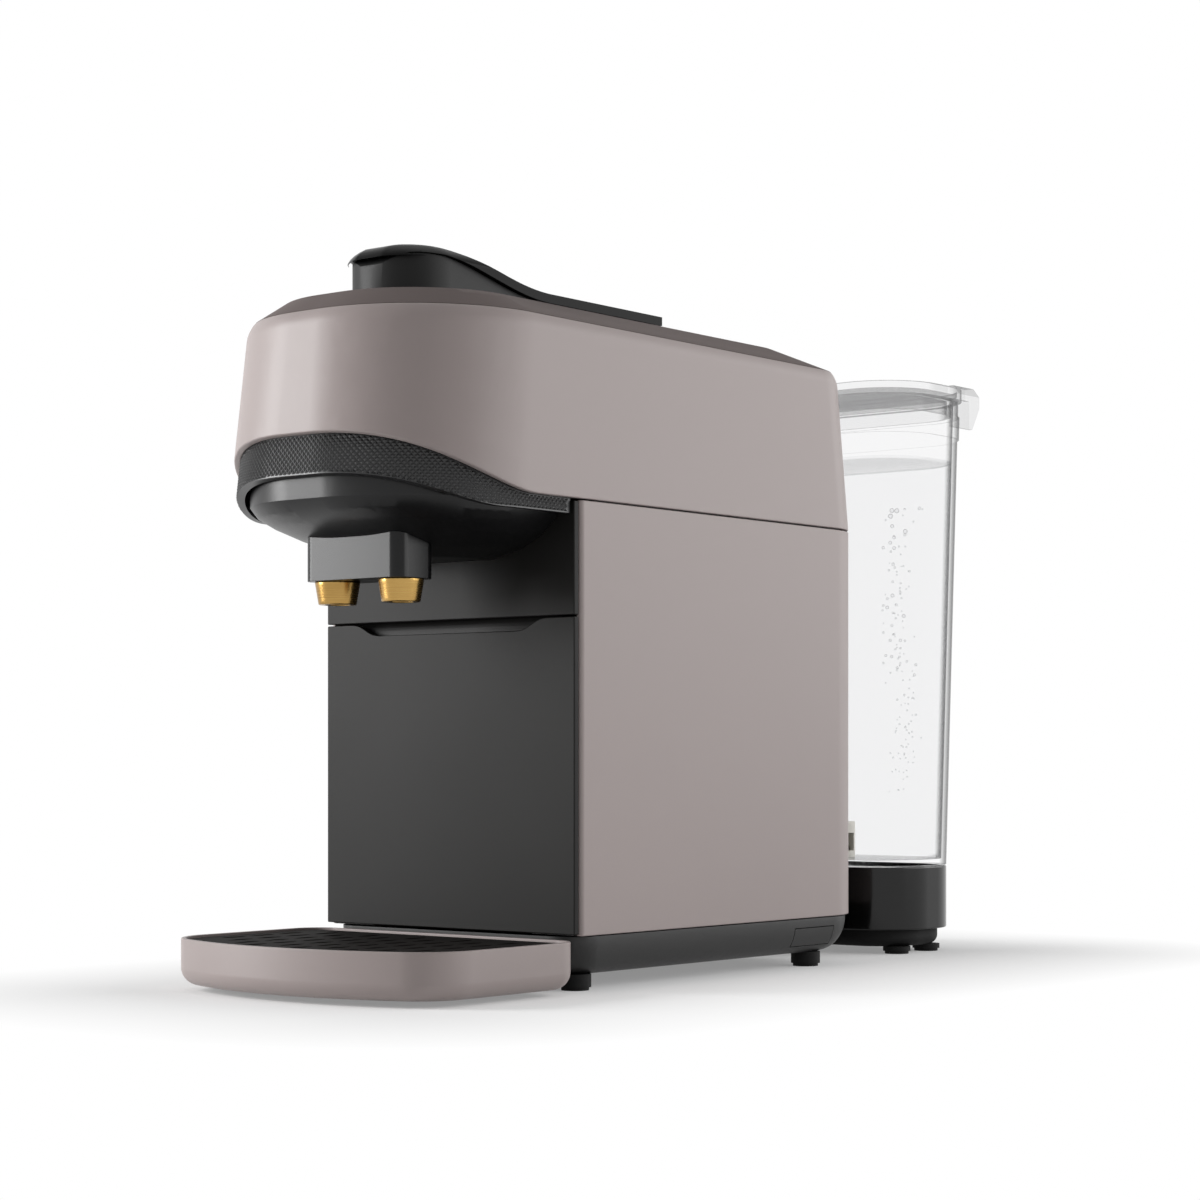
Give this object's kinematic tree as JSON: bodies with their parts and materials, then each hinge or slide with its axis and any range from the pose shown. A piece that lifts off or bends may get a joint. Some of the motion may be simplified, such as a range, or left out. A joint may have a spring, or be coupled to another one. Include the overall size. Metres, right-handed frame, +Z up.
{
  "type": "pod coffee machine",
  "caption": "Slim countertop pod coffee machine with a rounded overhanging head, top lever, twin spouts, capsule drawer, drip tray and clear rear water tank.",
  "frame": {"origin": "on the ground under the middle of the machine's outline", "axes": "+Z up, -Y towards the person using it, +X to their right"},
  "size_m": [0.136, 0.3868, 0.2735],
  "materials": {
    "shell": "satin warm taupe",
    "top": "satin darker taupe",
    "black_matte": "matte black",
    "black_gloss": "gloss black",
    "base_grey": "matte dark grey",
    "spout_grey": "semi-gloss dark grey",
    "brass": "brushed brass",
    "clear": "clear plastic",
    "rubber": "matte black rubber",
    "grid_dark": "matte dark brown-grey",
    "buttons": "satin black",
    "inner_plastic": "matte dark moulding",
    "steel": "plain steel",
    "gear": "natural acetal",
    "heater": "cast aluminium",
    "pump_body": "grey coated steel",
    "hose": "translucent silicone",
    "board": "green circuit board"
  },
  "bodies": {
    "machine": {"lower_shell": "shell", "upper_shell": "shell", "top_cover": "top", "button_plate": "top", "chin_bowl": "black_matte", "knurled_band": "black_matte", "front_panel_upper": "black_matte", "dock_platform": "black_matte", "rear_panel": "black_matte", "tank_dock": "black_gloss", "base_pan": "base_grey", "base_port_cover_left": "base_grey", "base_port_cover_right": "base_grey", "spout_block": "spout_grey", "nozzle_left": "brass", "nozzle_right": "brass", "body_feet": "rubber", "dock_feet": "rubber", "cord_gland": "rubber", "pump_mount_lower": "rubber", "pump_mount_upper": "rubber", "chassis": "inner_plastic", "brew_cage": "inner_plastic", "capsule_chute": "inner_plastic", "outlet_funnel": "inner_plastic", "flow_meter": "inner_plastic", "hinge_bracket": "inner_plastic", "dock_spigot": "inner_plastic", "base_screws": "steel", "cage_screws": "steel", "panel_screws": "steel", "injector": "steel", "thermoblock": "heater", "pump": "pump_body", "hose_tank": "hose", "hose_flow_meter": "hose", "hose_pump": "hose", "hose_heater": "hose", "control_board": "board", "button_board": "board"},
    "lever": {"lever_cover": "black_gloss", "lever_skirt": "black_matte", "lever_shaft": "steel", "lever_gear_left": "gear", "lever_gear_right": "gear"},
    "carriage": {"brew_carriage": "inner_plastic"},
    "key_left": {"button_1": "buttons"},
    "key_middle": {"button_2": "buttons"},
    "key_right": {"button_3": "buttons"},
    "drawer": {"drawer_front": "black_matte", "capsule_bin": "inner_plastic"},
    "tray": {"drip_tray": "shell"},
    "grid": {"drip_grid": "grid_dark"},
    "tank": {"water_tank": "clear", "valve_cage": "inner_plastic", "lid_hinge_pin": "steel"},
    "valve": {"tank_valve": "inner_plastic"},
    "lid": {"tank_lid": "clear"}
  },
  "joints": [
    {"name": "lever_hinge", "type": "hinge", "parent": "machine", "child": "lever", "pos_m": [0, 0.00012, 0.2558], "axis": [-1, 0, 0], "range_deg": [0, 64]},
    {"name": "carriage_slide", "type": "slide", "parent": "machine", "child": "carriage", "axis": [0, -1, 0], "range_m": [0, 0.02914]},
    {"name": "key_left_press", "type": "slide", "parent": "machine", "child": "key_left", "axis": [0, 0, -1], "range_m": [0, 0.0015], "stiffness_N_per_m": 600, "springref_m": -0.001},
    {"name": "key_middle_press", "type": "slide", "parent": "machine", "child": "key_middle", "axis": [0, 0, -1], "range_m": [0, 0.0015], "stiffness_N_per_m": 600, "springref_m": -0.001},
    {"name": "key_right_press", "type": "slide", "parent": "machine", "child": "key_right", "axis": [0, 0, -1], "range_m": [0, 0.0015], "stiffness_N_per_m": 600, "springref_m": -0.001},
    {"name": "drawer_slide", "type": "slide", "parent": "machine", "child": "drawer", "axis": [0, -1, 0], "range_m": [0, 0.095]},
    {"name": "tray_slide", "type": "slide", "parent": "machine", "child": "tray", "axis": [0, -1, 0], "range_m": [0, 0.1]},
    {"name": "grid_lift", "type": "slide", "parent": "tray", "child": "grid", "axis": [0, 0, 1], "range_m": [0, 0.03]},
    {"name": "tank_lift", "type": "slide", "parent": "machine", "child": "tank", "axis": [0, 0, 1], "range_m": [0, 0.06]},
    {"name": "lid_hinge", "type": "hinge", "parent": "tank", "child": "lid", "pos_m": [-0.0618, 0.15862, 0.2462], "axis": [0, -1, 0], "range_deg": [0, 100]},
    {"name": "valve_lift", "type": "slide", "parent": "tank", "child": "valve", "axis": [0, 0, 1], "range_m": [0, 0.003], "stiffness_N_per_m": 300, "springref_m": -0.001}
  ],
  "couplings": [
    {"joint": "carriage_slide", "follows": "lever_hinge", "m_per_rad": 0.026}
  ]
}
